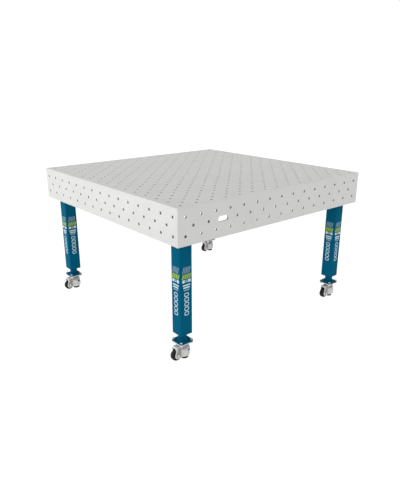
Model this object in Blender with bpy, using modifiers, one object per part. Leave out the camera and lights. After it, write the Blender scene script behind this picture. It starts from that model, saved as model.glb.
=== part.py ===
"""A modular steel welding table on four levelling castors.

Metres, +Z up. The origin is on the floor under the middle of the table.
X runs along the 1500 mm sides and Y along the 1480 mm sides. The front is the -Y side.
"""

import math

import bmesh
import bpy
from mathutils import Matrix

# Table box
TABLE_X = 1.500
TABLE_Y = 1.480
TABLE_HEIGHT = 0.882
SKIRT = 0.200  # the whole depth of the box, top plate included
PLATE = 0.012
GAP = 0.0003  # between pieces that touch

# Clamping holes
HOLE_RADIUS = 0.008
HOLE_SIDES = 5  # a round hole is a polygon of the same area
PITCH = 0.100
ROW_STEP = 0.050  # rows of a side plate, counted down from the worktop
SLOT_AT = -0.450  # plain slot in the front plate, in place of the row's hole
SLOT_SIZE = (0.072, 0.030)

# Ribs under the top
RIB_AT = 0.225
RIB_THICK = 0.010
RIB_DEPTH = 0.140
RIB_LAP_PLAY = 0.0006

# Legs
LEG_IN = 0.094  # from the outside of the skirt to the leg's middle, in X and Y
LEG = 0.080
LEG_WALL = 0.004
LEG_CORNER = 0.008
LEG_FOOT = 0.156  # height of the tube's lower end
MOUNT_SIZE = 0.168
MOUNT_THICK = 0.012
MOUNT_BOTTOM = TABLE_HEIGHT - 0.136
FLANGE = 0.130
FLANGE_THICK = 0.010
FLANGE_BOLTS = 0.106
NECK_RADIUS = 0.0245
PLUG_HEIGHT = 0.030

# Square plates of the leg base and of the castor
FOOT_PLATE = 0.090
FOOT_PLATE_CORNER = 0.012
FOOT_PLATE_BOLTS = 0.070
BASE_THICK = 0.008
BASE_BOTTOM = 0.104
CASTER_PLATE_THICK = 0.005

# Clearance holes for M12 and M8 bolts
LEG_BOLT_HOLE = 0.0066
CASTER_BOLT_HOLE = 0.0046

# Levelling castor, measured from its swivel axis. The wheel trails towards -X.
WHEEL_RADIUS = 0.0325
WHEEL_WIDTH = 0.026
WHEEL_SIDES = 20
TRAIL = 0.045
AXLE_RADIUS = 0.004
AXLE_PLAY = 0.0005
AXLE_HEAD_RADIUS = 0.0070
AXLE_HEAD = 0.0045
CHEEK_INSIDE = 0.0145
CHEEK_OUTSIDE = 0.0185
CHEEK_END_AT = (-0.043, 0.0325)  # middle of the round end, in X and Z
CHEEK_END_RADIUS = 0.021
POCKET_RADIUS = 0.0350
HOUSING_TOP = 0.0845
HOUSING_BOTTOM = 0.0125
BODY_AT = 0.007
BODY_TOP_RADIUS = 0.0295
BODY_RADIUS = 0.036
BODY_NOSE_RADIUS = 0.024
RACE_RADIUS = 0.0295
RACE_HOLE = 0.0125
PIN_RADIUS = 0.009
PIN_BOTTOM = 0.0760
PIN_END_PLAY = 0.0008
FOOT_AT = 0.010
FOOT_SCREW_RADIUS = 0.008
FOOT_SCREW_TOP = 0.068
FOOT_SCREW_END_PLAY = 0.0015
FOOT_PAD_RADIUS = 0.0240
FOOT_PAD_BOTTOM = 0.0010
FOOT_PAD_TOP = 0.0115
THUMB_RADIUS = 0.026
THUMB_BOTTOM = 0.0500
THUMB_TOP = 0.0630
THUMB_PLAY = 0.0007
THUMB_RIM_PLAY = 0.0015

CORNERS = {
    "front_left": (-1, -1),
    "front_right": (1, -1),
    "back_left": (-1, 1),
    "back_right": (1, 1),
}

# Finish: base colour, metallic, roughness
FINISHES = {
    "steel_plate": ((0.62, 0.62, 0.61), 0.9, 0.38),
    "teal_paint": ((0.004, 0.105, 0.175), 0.0, 0.35),
    "zinc": ((0.60, 0.62, 0.64), 1.0, 0.30),
    "cast_housing": ((0.56, 0.56, 0.55), 0.5, 0.45),
    "black_nylon": ((0.012, 0.012, 0.013), 0.0, 0.45),
    "black_rubber": ((0.010, 0.010, 0.010), 0.0, 0.75),
    "dark_plastic": ((0.060, 0.030, 0.034), 0.0, 0.50),
}


# The scene, collections and materials


def clear_scene():
    for item in list(bpy.data.objects):
        bpy.data.objects.remove(item, do_unlink=True)


def make_collection(name):
    collection = bpy.data.collections.new(name)
    bpy.context.scene.collection.children.link(collection)
    return collection


def make_material(name, finish):
    color, metallic, roughness = FINISHES[finish]
    material = bpy.data.materials.new(name)
    material.use_nodes = True
    shader = material.node_tree.nodes["Principled BSDF"]
    shader.inputs["Base Color"].default_value = (*color, 1.0)
    shader.inputs["Metallic"].default_value = metallic
    shader.inputs["Roughness"].default_value = roughness
    return material


def add(name, data, finish, parent=None, location=(0, 0, 0), rotation=(0, 0, 0)):
    """Places mesh or curve data in the table as a piece with a material of its own."""
    piece = bpy.data.objects.new(name, data)
    TABLE.objects.link(piece)
    piece.parent = parent
    piece.location = location
    piece.rotation_euler = rotation
    if not data.materials:
        data.materials.append(None)
    piece.material_slots[0].link = "OBJECT"
    piece.material_slots[0].material = make_material(name, finish)
    return piece


def add_empty(name, location, parent=None):
    empty = bpy.data.objects.new(name, None)
    TABLE.objects.link(empty)
    empty.parent = parent
    empty.location = location
    empty.empty_display_size = 0.05
    return empty


# Outlines and shapes


def ring(center, radius, sides, turn=0.0):
    """The corners of a regular polygon round a centre."""
    angles = [turn + math.tau * i / sides for i in range(sides)]
    return [(center[0] + radius * math.cos(a), center[1] + radius * math.sin(a)) for a in angles]


def clamp_hole(x, y):
    slice_area = math.sin(math.tau / HOLE_SIDES) / 2
    radius = HOLE_RADIUS * math.sqrt(math.pi / HOLE_SIDES / slice_area)
    return ring((x, y), radius, HOLE_SIDES, turn=math.pi / 2)


def arc(center, radius, start, end, steps):
    """Points along an arc, with the angles in degrees."""
    angles = [math.radians(start + (end - start) * i / steps) for i in range(steps + 1)]
    return [(center[0] + radius * math.cos(a), center[1] + radius * math.sin(a)) for a in angles]


def rectangle(width, height, center=(0, 0)):
    sides = ((-1, -1), (1, -1), (1, 1), (-1, 1))
    return [(center[0] + x * width / 2, center[1] + y * height / 2) for x, y in sides]


def rounded_rectangle(width, height, radius, steps, center=(0, 0)):
    points = []
    for quarter, (side_x, side_y) in enumerate(((1, 1), (-1, 1), (-1, -1), (1, -1))):
        middle_x = center[0] + side_x * (width / 2 - radius)
        middle_y = center[1] + side_y * (height / 2 - radius)
        points += arc((middle_x, middle_y), radius, 90 * quarter, 90 * quarter + 90, steps)
    return points


def corner_points(spacing, center=(0, 0)):
    """The four points of a square bolt pattern."""
    half = spacing / 2
    return [(center[0] + x * half, center[1] + y * half) for x in (-1, 1) for y in (-1, 1)]


def flat_plate(name, rim, holes, thickness):
    """A flat plate in its own XY plane, half of its thickness on either side, with holes through it."""
    curve = bpy.data.curves.new(name, "CURVE")
    curve.dimensions = "2D"
    curve.fill_mode = "BOTH"
    curve.extrude = thickness / 2
    for outline in [rim] + [hole[::-1] for hole in holes]:
        spline = curve.splines.new("POLY")
        spline.points.add(len(outline) - 1)
        for point, (x, y) in zip(spline.points, outline):
            point.co = (x, y, 0.0, 1.0)
        spline.use_cyclic_u = True
    return curve


def mesh_from(bm, name):
    mesh = bpy.data.meshes.new(name)
    bmesh.ops.recalc_face_normals(bm, faces=bm.faces)
    bm.to_mesh(mesh)
    bm.free()
    return mesh


def cylinder(name, radius, low, high, sides, along="Z", center=(0, 0)):
    """A cylinder along Z, or along Y, from low to high. Its centre is (x, y), or (x, z) along Y."""
    bm = bmesh.new()
    middle = (low + high) / 2
    place = Matrix.Translation((center[0], center[1], middle))
    if along == "Y":
        place = Matrix.Translation((center[0], middle, center[1])) @ Matrix.Rotation(math.pi / 2, 4, "X")
    bmesh.ops.create_cone(
        bm,
        cap_ends=True,
        segments=sides,
        radius1=radius,
        radius2=radius,
        depth=high - low,
        matrix=place,
    )
    return mesh_from(bm, name)


def side_profile(name, outline, half_width):
    """An outline in the XZ plane, given its width along Y on either side."""
    bm = bmesh.new()
    face = bm.faces.new([bm.verts.new((x, -half_width, z)) for x, z in outline])
    grown = bmesh.ops.extrude_face_region(bm, geom=[face])
    moved = [item for item in grown["geom"] if isinstance(item, bmesh.types.BMVert)]
    bmesh.ops.translate(bm, vec=(0, 2 * half_width, 0), verts=moved)
    return mesh_from(bm, name)


def helper(name, data):
    """A shape that other shapes are made with, and that is not a piece of the table."""
    shape = bpy.data.objects.new(name, data)
    CUTTERS.objects.link(shape)
    shape.hide_render = True
    shape.display_type = "WIRE"
    return shape


def baked(shape):
    """The finished mesh of a helper, which is then removed."""
    bpy.context.view_layer.update()
    graph = bpy.context.evaluated_depsgraph_get()
    mesh = bpy.data.meshes.new_from_object(shape.evaluated_get(graph))
    mesh.name = shape.name
    bpy.data.objects.remove(shape, do_unlink=True)
    bm = bmesh.new()
    bm.from_mesh(mesh)
    bmesh.ops.remove_doubles(bm, verts=bm.verts, dist=0.00002)
    bm.to_mesh(mesh)
    bm.free()
    return mesh


def turned(name, profile, steps):
    """A profile of (radius, height) points, top to bottom down its outer side, turned round Z."""
    mesh = bpy.data.meshes.new(name)
    points = [(radius, 0.0, height) for radius, height in profile]
    mesh.from_pydata(points, [(i, i + 1) for i in range(len(points) - 1)], [])
    shape = helper(name, mesh)
    screw = shape.modifiers.new("turn", "SCREW")
    screw.steps = steps
    screw.render_steps = steps
    screw.use_merge_vertices = True
    screw.merge_threshold = 0.00001
    return baked(shape)


def turned_ring(name, profile, steps):
    """A turned shape with a hole along its axis: the profile is closed along the hole's wall."""
    return turned(name, profile + profile[:1], steps)


def combined(name, base, steps):
    """Joins shapes to a base mesh, or cuts them from it, in turn. A step is (operation, mesh)."""
    shape = helper(name, base)
    tools = []
    for number, (operation, mesh) in enumerate(steps):
        tool = helper(f"{name}_{number}", mesh)
        modifier = shape.modifiers.new(f"{operation.lower()}_{number}", "BOOLEAN")
        modifier.operation = operation
        modifier.solver = "EXACT"
        modifier.object = tool
        tools.append(tool)
    mesh = baked(shape)
    for tool in tools:
        bpy.data.objects.remove(tool, do_unlink=True)
    return mesh


# Table box


def grid(count, step):
    """Positions of a row of holes that is centred on zero."""
    return [(i - (count - 1) / 2) * step for i in range(count)]


def build_top():
    """Two square grids of holes, the second in the middles of the first."""
    holes = [clamp_hole(x, y) for x in grid(15, PITCH) for y in grid(15, PITCH)]
    holes += [clamp_hole(x, y) for x in grid(14, PITCH) for y in grid(14, PITCH)]
    rim = rectangle(TABLE_X, TABLE_Y)
    plate = flat_plate("top_plate", rim, holes, PLATE)
    add("top_plate", plate, "steel_plate", location=(0, 0, TABLE_HEIGHT - PLATE / 2))


def side_plate(name, length, slotted, location, rotation):
    """A plate of the skirt, in its own XY plane with its upper edge at Y = 0."""
    height = SKIRT - PLATE - GAP
    rim = rectangle(length, height, center=(0, -height / 2))
    holes = []
    for row, count in enumerate((15, 14, 15)):
        y = PLATE + GAP - ROW_STEP * (row + 1)
        for x in grid(count, PITCH):
            if slotted and abs(x - SLOT_AT) < PITCH / 4:
                holes.append(rounded_rectangle(*SLOT_SIZE, SLOT_SIZE[1] / 2, 5, center=(x, y)))
            else:
                holes.append(clamp_hole(x, y))
    add(name, flat_plate(name, rim, holes, PLATE), "steel_plate", location=location, rotation=rotation)


def build_sides():
    top = TABLE_HEIGHT - PLATE - GAP
    x = (TABLE_X - PLATE) / 2
    y = (TABLE_Y - PLATE) / 2
    short = TABLE_Y - 2 * (PLATE + GAP)
    upright = math.pi / 2
    side_plate("side_front", TABLE_X, True, (0, -y, top), (upright, 0, 0))
    side_plate("side_back", TABLE_X, False, (0, y, top), (upright, 0, math.pi))
    side_plate("side_left", short, False, (-x, 0, top), (upright, 0, -upright))
    side_plate("side_right", short, False, (x, 0, top), (upright, 0, upright))


def rib(name, length, notches_up, location, rotation):
    """A rib in its own XY plane, half-lapped at both of the ribs that cross it."""
    half_slot = (RIB_THICK + RIB_LAP_PLAY) / 2
    slot_end = -RIB_DEPTH / 2 + (-1 if notches_up else 1) * RIB_LAP_PLAY / 2
    slot_mouth = 0.0 if notches_up else -RIB_DEPTH
    notched = [(-length / 2, slot_mouth)]
    for x in (-RIB_AT, RIB_AT):
        notched += [(x - half_slot, slot_mouth), (x - half_slot, slot_end)]
        notched += [(x + half_slot, slot_end), (x + half_slot, slot_mouth)]
    notched.append((length / 2, slot_mouth))
    far = -RIB_DEPTH - slot_mouth
    rim = notched + [(length / 2, far), (-length / 2, far)]
    if notches_up:
        rim.reverse()
    add(name, flat_plate(name, rim, [], RIB_THICK), "steel_plate", location=location, rotation=rotation)


def build_ribs():
    top = TABLE_HEIGHT - PLATE - GAP
    length_x = TABLE_X - 2 * (PLATE + GAP)
    length_y = TABLE_Y - 2 * (PLATE + GAP)
    upright = math.pi / 2
    rib("rib_front", length_x, False, (0, -RIB_AT, top), (upright, 0, 0))
    rib("rib_back", length_x, False, (0, RIB_AT, top), (upright, 0, 0))
    rib("rib_left", length_y, True, (-RIB_AT, 0, top), (upright, 0, upright))
    rib("rib_right", length_y, True, (RIB_AT, 0, top), (upright, 0, upright))


# Legs


def leg_center(corner):
    side_x, side_y = CORNERS[corner]
    return side_x * (TABLE_X / 2 - LEG_IN), side_y * (TABLE_Y / 2 - LEG_IN)


def build_leg_mount(corner):
    """The plate inside the skirt that the leg is bolted up to."""
    side_x, side_y = CORNERS[corner]
    x = side_x * (TABLE_X / 2 - PLATE - GAP - MOUNT_SIZE / 2)
    y = side_y * (TABLE_Y / 2 - PLATE - GAP - MOUNT_SIZE / 2)
    leg_x, leg_y = leg_center(corner)
    middle = (leg_x - x, leg_y - y)
    holes = [ring(at, LEG_BOLT_HOLE, 6) for at in corner_points(FLANGE_BOLTS, middle)]
    rim = rectangle(MOUNT_SIZE, MOUNT_SIZE)
    name = f"leg_mount_{corner}"
    place = (x, y, MOUNT_BOTTOM + MOUNT_THICK / 2)
    add(name, flat_plate(name, rim, holes, MOUNT_THICK), "steel_plate", location=place)


def build_leg(corner):
    x, y = leg_center(corner)
    flange_bottom = MOUNT_BOTTOM - GAP - FLANGE_THICK
    rim = rounded_rectangle(FLANGE, FLANGE, 0.010, 1)
    holes = [ring(at, LEG_BOLT_HOLE, 6) for at in corner_points(FLANGE_BOLTS)]
    name = f"leg_flange_{corner}"
    place = (x, y, flange_bottom + FLANGE_THICK / 2)
    add(name, flat_plate(name, rim, holes, FLANGE_THICK), "teal_paint", location=place)

    tube_top = flange_bottom - GAP
    inside = LEG - 2 * LEG_WALL
    rim = rounded_rectangle(LEG, LEG, LEG_CORNER, 2)
    hollow = rounded_rectangle(inside, inside, LEG_CORNER - LEG_WALL, 2)
    name = f"leg_tube_{corner}"
    place = (x, y, (LEG_FOOT + tube_top) / 2)
    add(name, flat_plate(name, rim, [hollow], tube_top - LEG_FOOT), "teal_paint", location=place)


def foot_plate(name, bottom, thickness):
    """The square plate with four bolt holes that the leg base and the castor both have."""
    rim = rounded_rectangle(FOOT_PLATE, FOOT_PLATE, FOOT_PLATE_CORNER, 2)
    holes = [ring(at, CASTER_BOLT_HOLE, 6) for at in corner_points(FOOT_PLATE_BOLTS)]
    shape = helper(name, flat_plate(name, rim, holes, thickness))
    mesh = baked(shape)
    mesh.transform(Matrix.Translation((0, 0, bottom + thickness / 2)))
    return mesh


def leg_base_mesh():
    """A plug that fills the tube's end, a round neck and the plate that the castor is bolted to."""
    plug_width = LEG - 2 * LEG_WALL - 2 * GAP
    rim = rounded_rectangle(plug_width, plug_width, LEG_CORNER - LEG_WALL, 1)
    plug = baked(helper("plug", flat_plate("plug", rim, [], PLUG_HEIGHT)))
    plug.transform(Matrix.Translation((0, 0, LEG_FOOT + PLUG_HEIGHT / 2)))
    plate_middle = BASE_BOTTOM + BASE_THICK / 2
    neck = cylinder("neck", NECK_RADIUS, plate_middle, LEG_FOOT + PLUG_HEIGHT / 2, 14)
    plate = foot_plate("leg_base", BASE_BOTTOM, BASE_THICK)
    return combined("leg_base", plate, [("UNION", neck), ("UNION", plug)])


# Levelling castors


def caster_plate_mesh():
    """The castor's top plate and the king pin that is fixed in it."""
    bottom = BASE_BOTTOM - GAP - CASTER_PLATE_THICK
    plate = foot_plate("caster_plate", bottom, CASTER_PLATE_THICK)
    pin = cylinder("king_pin", PIN_RADIUS, PIN_BOTTOM, bottom + CASTER_PLATE_THICK / 2, 10)
    return combined("caster_plate", plate, [("UNION", pin)])


def race_mesh():
    top = BASE_BOTTOM - CASTER_PLATE_THICK - 2 * GAP
    low = HOUSING_TOP + GAP
    profile = [(RACE_HOLE, top), (RACE_RADIUS, top), (RACE_RADIUS, low), (RACE_HOLE, low)]
    return turned_ring("caster_race", profile, 16)


def cheek_outline():
    """Side view of the hood over the wheel and of the cheeks, down to their round ends at the axle."""
    bottom = CHEEK_END_AT[1] - CHEEK_END_RADIUS
    hood = [(BODY_AT, HOUSING_TOP), (-0.050, HOUSING_TOP), (-0.0575, 0.079), (-0.0602, 0.0735)]
    rear = [(-0.0590, 0.068), (-0.0567, 0.062), (-0.0567, 0.055)]
    round_end = arc(CHEEK_END_AT, CHEEK_END_RADIUS, 165, 270, 5)
    front_edge = [(-0.020, bottom), (-0.012, HOUSING_BOTTOM + 0.003), (BODY_AT, HOUSING_BOTTOM + 0.003)]
    return hood + rear + round_end + front_edge


def arch_outline():
    """Side view of the opening behind the wheel, whose top rises to the rear."""
    axle_height = WHEEL_RADIUS
    return [(-0.1, axle_height), (-0.1, 0.0755), (-0.058, 0.0755), (-0.038, 0.0665), (-0.038, axle_height)]


def housing_mesh():
    """The die-cast housing: a round body with a mouth in front, and a hood and cheeks round the wheel."""
    axle = (-TRAIL, WHEEL_RADIUS)
    body = turned(
        "body",
        [
            (0, HOUSING_TOP),
            (BODY_TOP_RADIUS, HOUSING_TOP),
            (BODY_TOP_RADIUS, THUMB_TOP + 0.005),
            (BODY_RADIUS, THUMB_TOP + 0.001),
            (BODY_RADIUS, 0.022),
            (BODY_NOSE_RADIUS, HOUSING_BOTTOM),
            (0, HOUSING_BOTTOM),
        ],
        18,
    )
    body.transform(Matrix.Translation((BODY_AT, 0, 0)))
    cheeks = side_profile("cheeks", cheek_outline(), CHEEK_OUTSIDE)
    pocket = cylinder("pocket", POCKET_RADIUS, -CHEEK_INSIDE, CHEEK_INSIDE, 20, "Y", axle)
    arch = side_profile("arch", arch_outline(), CHEEK_INSIDE)
    pin_hole = cylinder("pin_hole", PIN_RADIUS + 2 * GAP, PIN_BOTTOM - PIN_END_PLAY, 0.1, 10)
    bore_top = FOOT_SCREW_TOP + FOOT_SCREW_END_PLAY
    screw_hole = cylinder("bore", FOOT_SCREW_RADIUS + 2 * GAP, 0, bore_top, 10, center=(FOOT_AT, 0))
    thumb_low = THUMB_BOTTOM - THUMB_PLAY
    thumb_high = THUMB_TOP + THUMB_PLAY
    thumb_radius = THUMB_RADIUS + THUMB_RIM_PLAY
    thumb_slot = cylinder("slot", thumb_radius, thumb_low, thumb_high, 18, center=(FOOT_AT, 0))
    mouth_outline = [(FOOT_AT, thumb_low), (0.06, thumb_low), (0.06, thumb_high), (FOOT_AT, thumb_high)]
    mouth = side_profile("mouth", mouth_outline, 0.05)
    axle_hole = cylinder("axle_hole", AXLE_RADIUS + GAP, -0.03, 0.03, 8, "Y", axle)
    cutters = (pocket, arch, pin_hole, screw_hole, thumb_slot, mouth, axle_hole)
    steps = [("UNION", cheeks)] + [("DIFFERENCE", cutter) for cutter in cutters]
    return combined("caster_housing", body, steps)


def wheel_mesh():
    """The wheel stands on the middle of one of its flats, so its flats touch the stated radius."""
    outside = WHEEL_RADIUS / math.cos(math.pi / WHEEL_SIDES)
    half = WHEEL_WIDTH / 2
    bore = AXLE_RADIUS + AXLE_PLAY
    edge = 0.0035
    profile = [
        (bore, half),
        (outside - edge, half),
        (outside, half - edge),
        (outside, edge - half),
        (outside - edge, -half),
        (bore, -half),
    ]
    mesh = turned_ring("caster_wheel", profile, WHEEL_SIDES)
    mesh.transform(Matrix.Rotation(math.pi / WHEEL_SIDES, 4, "Z"))
    return mesh


def axle_mesh():
    """An axle bolt with a head outside one cheek and a nut outside the other."""
    cheek = CHEEK_OUTSIDE + GAP
    end = cheek + AXLE_HEAD
    profile = [
        (0, end),
        (AXLE_HEAD_RADIUS, end),
        (AXLE_HEAD_RADIUS, cheek),
        (AXLE_RADIUS, cheek),
        (AXLE_RADIUS, -cheek),
        (AXLE_HEAD_RADIUS, -cheek),
        (AXLE_HEAD_RADIUS, -end),
        (0, -end),
    ]
    return turned("caster_axle", profile, 8)


def foot_pad_mesh():
    rim = FOOT_PAD_RADIUS
    profile = [
        (0, FOOT_PAD_TOP),
        (rim - 0.003, FOOT_PAD_TOP),
        (rim, FOOT_PAD_TOP - 0.003),
        (rim, FOOT_PAD_BOTTOM + 0.002),
        (rim - 0.002, FOOT_PAD_BOTTOM),
        (0, FOOT_PAD_BOTTOM),
    ]
    return turned("foot_pad", profile, 14)


def thumbwheel_mesh():
    bore = FOOT_SCREW_RADIUS + 2 * GAP
    rim = THUMB_RADIUS
    profile = [(bore, THUMB_TOP), (rim, THUMB_TOP), (rim, THUMB_BOTTOM), (bore, THUMB_BOTTOM)]
    return turned_ring("thumbwheel", profile, 16)


def build_caster(corner, meshes):
    """The empties stand on the joint axes: the swivel's, and the foot screw's inside it."""
    x, y = leg_center(corner)
    swivel = add_empty(f"swivel_axis_{corner}", (x, y, 0))
    foot = add_empty(f"foot_axis_{corner}", (FOOT_AT, 0, 0), swivel)
    crosswise = (math.pi / 2, 0, 0)
    axle = (-TRAIL, 0, WHEEL_RADIUS)
    pieces = (
        ("caster_plate", "zinc", swivel, (0, 0, 0), (0, 0, 0)),
        ("caster_race", "zinc", swivel, (0, 0, 0), (0, 0, 0)),
        ("caster_housing", "cast_housing", swivel, (0, 0, 0), (0, 0, 0)),
        ("caster_axle", "zinc", swivel, axle, crosswise),
        ("caster_wheel", "black_nylon", swivel, axle, crosswise),
        ("foot_screw", "zinc", foot, (0, 0, 0), (0, 0, 0)),
        ("foot_pad", "black_rubber", foot, (0, 0, 0), (0, 0, 0)),
        ("thumbwheel", "dark_plastic", foot, (0, 0, 0), (0, 0, 0)),
    )
    for kind, finish, parent, location, rotation in pieces:
        add(f"{kind}_{corner}", meshes[kind], finish, parent, location, rotation)


def build_table():
    build_top()
    build_sides()
    build_ribs()
    base = leg_base_mesh()
    screw = cylinder("foot_screw", FOOT_SCREW_RADIUS, FOOT_PAD_TOP + GAP, FOOT_SCREW_TOP, 10)
    meshes = {
        "caster_plate": caster_plate_mesh(),
        "caster_race": race_mesh(),
        "caster_housing": housing_mesh(),
        "caster_axle": axle_mesh(),
        "caster_wheel": wheel_mesh(),
        "foot_screw": screw,
        "foot_pad": foot_pad_mesh(),
        "thumbwheel": thumbwheel_mesh(),
    }
    for corner in CORNERS:
        build_leg_mount(corner)
        build_leg(corner)
        add(f"leg_base_{corner}", base, "teal_paint", location=(*leg_center(corner), 0))
        build_caster(corner, meshes)
    for mesh in [base, *meshes.values()]:
        mesh.shade_smooth()
        mesh.set_sharp_from_angle(angle=math.radians(35))


clear_scene()
TABLE = make_collection("welding_table")
CUTTERS = make_collection("cutters")
CUTTERS.hide_render = True
build_table()
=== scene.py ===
"""The looks of a steel welding table on levelling castors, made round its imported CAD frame.

Metres, +Z up, in the frame of the CAD model: the origin is on the floor under the middle of the
table, the front is the -Y side, and the wheels of the castors trail towards -X.
"""

import math

import bmesh
import bpy
from mathutils import Matrix, Vector


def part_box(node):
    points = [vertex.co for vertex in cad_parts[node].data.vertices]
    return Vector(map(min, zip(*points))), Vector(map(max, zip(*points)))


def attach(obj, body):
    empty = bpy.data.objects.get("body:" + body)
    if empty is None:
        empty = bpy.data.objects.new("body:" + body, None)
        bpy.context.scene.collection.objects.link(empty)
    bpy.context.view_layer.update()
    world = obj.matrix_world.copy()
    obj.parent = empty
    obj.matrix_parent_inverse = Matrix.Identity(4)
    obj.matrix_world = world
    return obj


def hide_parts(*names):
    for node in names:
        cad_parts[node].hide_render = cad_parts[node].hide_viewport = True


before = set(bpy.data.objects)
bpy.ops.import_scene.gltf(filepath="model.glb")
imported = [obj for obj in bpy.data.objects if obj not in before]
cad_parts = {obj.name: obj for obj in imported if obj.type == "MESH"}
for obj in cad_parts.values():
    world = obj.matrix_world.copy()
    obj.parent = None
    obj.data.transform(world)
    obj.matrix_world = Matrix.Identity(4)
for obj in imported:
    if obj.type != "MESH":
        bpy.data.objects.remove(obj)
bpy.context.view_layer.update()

CORNERS = {
    "front_left": (-1, -1),
    "front_right": (1, -1),
    "back_left": (-1, 1),
    "back_right": (1, 1),
}

# Plates of the table box
HOLE_RADIUS = 0.008
HOLE_SIDES = 32
PITCH = 0.1
MAIN_ROW = 15  # holes in a row of the main grid
OFFSET_ROW = 14  # holes in a row of the grid that lies between
ROW_STEP = 0.05  # rows of a side plate, counted down from the worktop
SLOT_AT = -0.45
SLOT_SIZE = (0.072, 0.03)
EDGE = 0.0005  # chamfer of a sawn and deburred edge
HOLE_EDGE = 0.001
FLUSH = 0.00005  # how far the ground seams lie under the plates' faces
SEAM_LAP = 1.3  # in chamfer widths
RIB_STITCHES = (9, 0.045)  # welds along a side, and the length of each
BOX_STITCHES = (10, 0.05)
STITCH_THROAT = 0.004
BOX_THROAT = 0.005
MOUNT_WELD = (0.012, 0.158)  # from the inner corner of the skirt, either way

# Legs
LEG_CORNER = 0.008
LEG_WALL = 0.004
FLANGE_BOLTS = 0.106
FLANGE_CORNER = 0.01
FOOT_PLATE_CORNER = 0.012
FOOT_PLATE_BOLTS = 0.07
BASE_THICK = 0.008
NECK_RADIUS = 0.0245
NECK_SIDES = 64
NECK_THROAT = 0.0045
PLUG_PLAY = 0.0006

# Fasteners: bolt radius, width across flats, heights of head and nut, washer radius and thickness
M12 = {"bolt": 0.006, "flats": 0.019, "head": 0.0075, "nut": 0.0108, "washer": 0.012, "thick": 0.0025}
M8 = {"bolt": 0.004, "flats": 0.013, "head": 0.0053, "nut": 0.0065, "washer": 0.008, "thick": 0.0016}
BOLT_PLAY = 0.0006
BOLT_ROUND = 0.0006
BOLT_TIP = 0.0018  # how far a bolt stands out of its nut

# Levelling castor, measured from its swivel axis
CASTER_PLATE_THICK = 0.005
TRAIL = 0.045
BODY_AT = 0.007
BODY_TOP_RADIUS = 0.0295
BODY_RADIUS = 0.036
BODY_NOSE_RADIUS = 0.024
CHEEK_INSIDE = 0.0145
CHEEK_OUTSIDE = 0.0185
CHEEK_ROUND = 0.003
CHEEK_END_AT = (-0.043, 0.0325)  # middle of the round end, in X and Z
CHEEK_END_RADIUS = 0.021
BODY_BOTTOM = 0.0125
PANEL_DEPTH = 0.0009
PANEL_MARGIN = 0.0085
POCKET_RADIUS = 0.035
PIN_HOLE = (0.0096, 0.0752)  # radius and bottom
BEYOND = 0.05  # past the sides of the housing
SCREW_PLAY = 0.0006
SCREW_END_PLAY = 0.0015
THUMB_FLUTES = 30
THUMB_CUT = 0.0009
THUMB_RIM_PLAY = 0.0015
THUMB_PLAY = 0.0007
THREAD_PITCH = 0.002
THREAD_DEPTH = 0.0011
AXLE_RADIUS = 0.004
AXLE_PLAY = 0.0004
AXLE_HEAD_RADIUS = 0.007
RACE_BORE = 0.0125
BALLS = 28
BALL_RADIUS = 0.0021
WHEEL_RIBS = 6
CAST_VOXEL = 0.0007
CAST_SMOOTHING = 4
CAST_KEEP = 0.35  # share of the casting's faces that is kept

QUARTER = math.pi / 2
SHARP_ANGLE = 35  # edges sharper than this stay sharp, in degrees
WELD_ANGLE = 60

# Light, floor and camera
LAMP_AT = (-4.0, 1.7, 1.7)
LAMP_TOWARDS = (-0.7, 0, 0.6)
LAMP_SIZE = (3.0, 2.0)
LAMP_POWER = 72
FLOOR_REACH = 40.0
FLOOR_AT = -0.0115  # just under the foot pads when they are screwed right down
CAMERA_AT = (-2.1545, -2.5786, 1.469)
CAMERA_TOWARDS = (0.6084, 0.724, -0.325)
LENS = 36.1
SENSOR = 36.0


# Outlines in a plane


def arc(center, radius, start, end, steps):
    """Points along an arc, with the angles in degrees."""
    angles = [math.radians(start + (end - start) * i / steps) for i in range(steps + 1)]
    return [(center[0] + radius * math.cos(a), center[1] + radius * math.sin(a)) for a in angles]


def ring(center, radius, sides):
    return arc(center, radius, 0, 360, sides)[:-1]


def rectangle(width, height, center=(0, 0)):
    sides = ((-1, -1), (1, -1), (1, 1), (-1, 1))
    return [(center[0] + x * width / 2, center[1] + y * height / 2) for x, y in sides]


def rounded_rectangle(width, height, radius, steps, center=(0, 0)):
    points = []
    for quarter, (side_x, side_y) in enumerate(((1, 1), (-1, 1), (-1, -1), (1, -1))):
        middle_x = center[0] + side_x * (width / 2 - radius)
        middle_y = center[1] + side_y * (height / 2 - radius)
        points += arc((middle_x, middle_y), radius, 90 * quarter, 90 * quarter + 90, steps)
    return points


def corner_points(spacing, center=(0, 0)):
    """The four points of a square bolt pattern."""
    half = spacing / 2
    return [(center[0] + x * half, center[1] + y * half) for x in (-1, 1) for y in (-1, 1)]


def softened(points, steps=5):
    """An open outline whose corners are rounded. A point is (x, y) for a sharp one, or (x, y, radius)."""
    result = []
    for i, point in enumerate(points):
        here = Vector(point[:2])
        if len(point) == 2 or i in (0, len(points) - 1):
            result.append(tuple(here))
            continue
        before = (Vector(points[i - 1][:2]) - here).normalized()
        after = (Vector(points[i + 1][:2]) - here).normalized()
        half_angle = before.angle(after) / 2
        reach = point[2] / math.tan(half_angle)
        middle = here + (before + after).normalized() * point[2] / math.sin(half_angle)
        first, last = here + before * reach - middle, here + after * reach - middle
        for step in range(steps + 1):
            spoke = first.lerp(last, step / steps)
            result.append(tuple(middle + spoke.normalized() * point[2]))
    return result


# Shapes: a shape is (points, faces), and several make a mesh


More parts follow.
